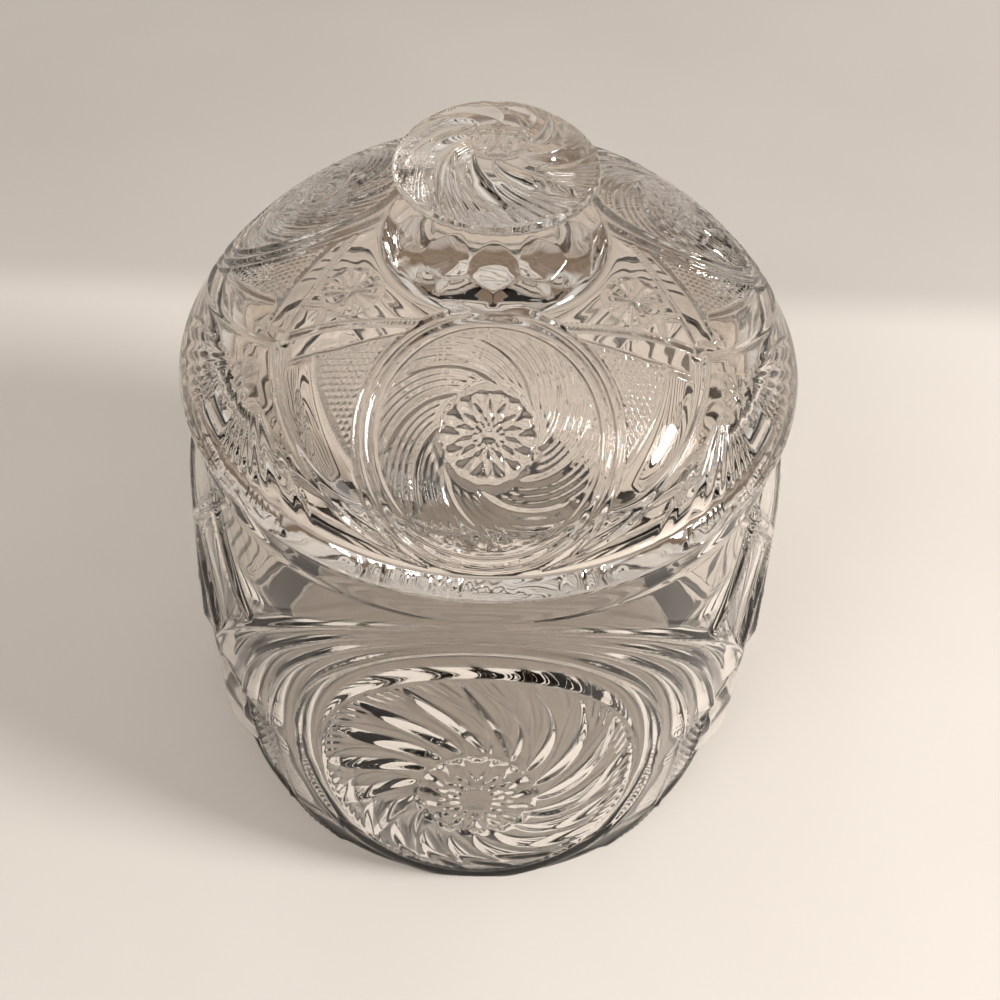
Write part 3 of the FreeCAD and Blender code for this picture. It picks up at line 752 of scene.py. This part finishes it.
def surface_material():
    """Cream cloth with faint slow patches of tone, and painted shade beyond a soft straight edge behind the
    object: a shade darker there, for a backdrop that gets less light.
    """
    material = bpy.data.materials.new("cream_surface")
    material.use_nodes = True
    nodes = material.node_tree.nodes
    links = material.node_tree.links
    shader = nodes["Principled BSDF"]
    shader.inputs["Roughness"].default_value = CLOTH_ROUGHNESS
    place = nodes.new("ShaderNodeTexCoord")
    noise = nodes.new("ShaderNodeTexNoise")
    noise.inputs["Scale"].default_value = CLOTH_PATCHES
    noise.inputs["Detail"].default_value = CLOTH_DETAIL
    ramp = nodes.new("ShaderNodeValToRGB")
    dark, light = ramp.color_ramp.elements
    dark.position, light.position = CLOTH_RAMP
    dark.color = CLOTH_DARK
    light.color = CLOTH_LIGHT
    split = nodes.new("ShaderNodeSeparateXYZ")
    # Painted shade: a smooth step across the floor's depth that darkens the cloth colour behind the object
    edge = nodes.new("ShaderNodeMapRange")
    edge.interpolation_type = "SMOOTHSTEP"
    edge.inputs["From Min"].default_value = PAINTED_SHADE_STARTS
    edge.inputs["From Max"].default_value = PAINTED_SHADE_ENDS
    edge.inputs["To Min"].default_value = 1.0
    edge.inputs["To Max"].default_value = PAINTED_SHADE_BEHIND
    shade = nodes.new("ShaderNodeVectorMath")
    shade.operation = "SCALE"
    links.new(place.outputs["Object"], noise.inputs["Vector"])
    links.new(place.outputs["Object"], split.inputs["Vector"])
    links.new(split.outputs["Y"], edge.inputs["Value"])
    links.new(noise.outputs["Fac"], ramp.inputs["Fac"])
    links.new(ramp.outputs["Color"], shade.inputs[0])
    links.new(edge.outputs["Result"], shade.inputs["Scale"])
    links.new(shade.outputs["Vector"], shader.inputs["Base Color"])
    return material


# Surroundings, in metres
FLOOR_HALF = 2.0
AIM = (0, 0, 0.08)
KEY_PLACE = (1.05, -0.3, 0.9)
KEY_SIZE = 0.35
KEY_POWER = 15.0
KEY_COLOUR = (1.0, 0.95, 0.90)
FILL_PLACE = (-0.8, -1.0, 1.1)
FILL_SIZE = 0.7
FILL_POWER = 4.0
FILL_COLOUR = (1.0, 0.96, 0.92)
ROOM_HORIZON = (0.80, 0.75, 0.69, 1)
ROOM_HORIZON_END = 0.12
ROOM_BAND = (0.26, 0.175, 0.115, 1)
ROOM_BAND_SPAN = (0.22, 0.45)
ROOM_OVERHEAD = (1.0, 0.96, 0.91, 1)
ROOM_OVERHEAD_START = 0.8
ROOM_STRENGTH = 0.75


def make_floor():
    half = FLOOR_HALF
    corners = [(-half, -half, 0), (half, -half, 0), (half, half, 0), (-half, half, 0)]
    mesh = bpy.data.meshes.new("floor")
    mesh.from_pydata(corners, [], [(0, 1, 2, 3)])
    floor = bpy.data.objects.new("floor", mesh)
    bpy.context.scene.collection.objects.link(floor)
    mesh.materials.append(surface_material())


def add_lamp(name, place, size, power, colour):
    lamp = bpy.data.lights.new(name, "AREA")
    lamp.shape = "DISK"
    lamp.size = size
    lamp.energy = power
    lamp.color = colour
    holder = bpy.data.objects.new(name, lamp)
    holder.location = place
    holder.rotation_euler = (Vector(AIM) - Vector(place)).to_track_quat("-Z", "Y").to_euler()
    bpy.context.scene.collection.objects.link(holder)


def make_world():
    """A soft room: pale overhead and at the horizon, with a warm brown band between that draws dark lines."""
    world = bpy.data.worlds.new("room")
    world.use_nodes = True
    nodes = world.node_tree.nodes
    links = world.node_tree.links
    background = nodes["Background"]
    place = nodes.new("ShaderNodeTexCoord")
    split = nodes.new("ShaderNodeSeparateXYZ")
    ramp = nodes.new("ShaderNodeValToRGB")
    stops = ramp.color_ramp.elements
    stops[0].position = ROOM_HORIZON_END
    stops[0].color = ROOM_HORIZON
    stops[1].position = ROOM_OVERHEAD_START
    stops[1].color = ROOM_OVERHEAD
    for position in ROOM_BAND_SPAN:
        stops.new(position).color = ROOM_BAND
    links.new(place.outputs["Generated"], split.inputs["Vector"])
    links.new(split.outputs["Z"], ramp.inputs["Fac"])
    links.new(ramp.outputs["Color"], background.inputs["Color"])
    background.inputs["Strength"].default_value = ROOM_STRENGTH
    bpy.context.scene.world = world


# Camera, fitted to the rim, knob, collar and foot as the photograph shows them
CAMERA_BACK = 0.2158
CAMERA_SIDE = -0.0013
CAMERA_HEIGHT = 0.3496
CAMERA_PITCH = math.radians(51.5)
CAMERA_ROLL = math.radians(3.0)
CAMERA_YAW = math.radians(1.5)
FOCAL_PIXELS = 1200
PHOTO_PIXELS = 1000
SENSOR_WIDTH = 36.0
NEAR_CLIP = 0.01


def make_camera():
    data = bpy.data.cameras.new("camera")
    data.sensor_width = SENSOR_WIDTH
    data.lens = SENSOR_WIDTH * FOCAL_PIXELS / PHOTO_PIXELS
    data.clip_start = NEAR_CLIP
    camera = bpy.data.objects.new("camera", data)
    forward = Vector((math.sin(CAMERA_YAW) * math.cos(CAMERA_PITCH),
                      math.cos(CAMERA_YAW) * math.cos(CAMERA_PITCH), -math.sin(CAMERA_PITCH)))
    level = Vector((math.cos(CAMERA_YAW), -math.sin(CAMERA_YAW), 0))
    upright = level.cross(forward)
    right = level * math.cos(CAMERA_ROLL) + upright * math.sin(CAMERA_ROLL)
    up = upright * math.cos(CAMERA_ROLL) - level * math.sin(CAMERA_ROLL)
    turn = Matrix((right, up, -forward)).transposed().to_4x4()
    camera.matrix_world = Matrix.Translation((CAMERA_SIDE, -CAMERA_BACK, CAMERA_HEIGHT)) @ turn
    bpy.context.scene.collection.objects.link(camera)
    bpy.context.scene.camera = camera


bpy.context.scene.view_settings.view_transform = "Standard"
glass = glass_material()
for piece, node in ((make_jar(), "jar"), (make_lid(), "lid")):
    piece.data.materials.append(glass)
    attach(piece, node)
    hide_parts(node)
make_floor()
make_world()
add_lamp("key_lamp", KEY_PLACE, KEY_SIZE, KEY_POWER, KEY_COLOUR)
add_lamp("fill_lamp", FILL_PLACE, FILL_SIZE, FILL_POWER, FILL_COLOUR)
make_camera()
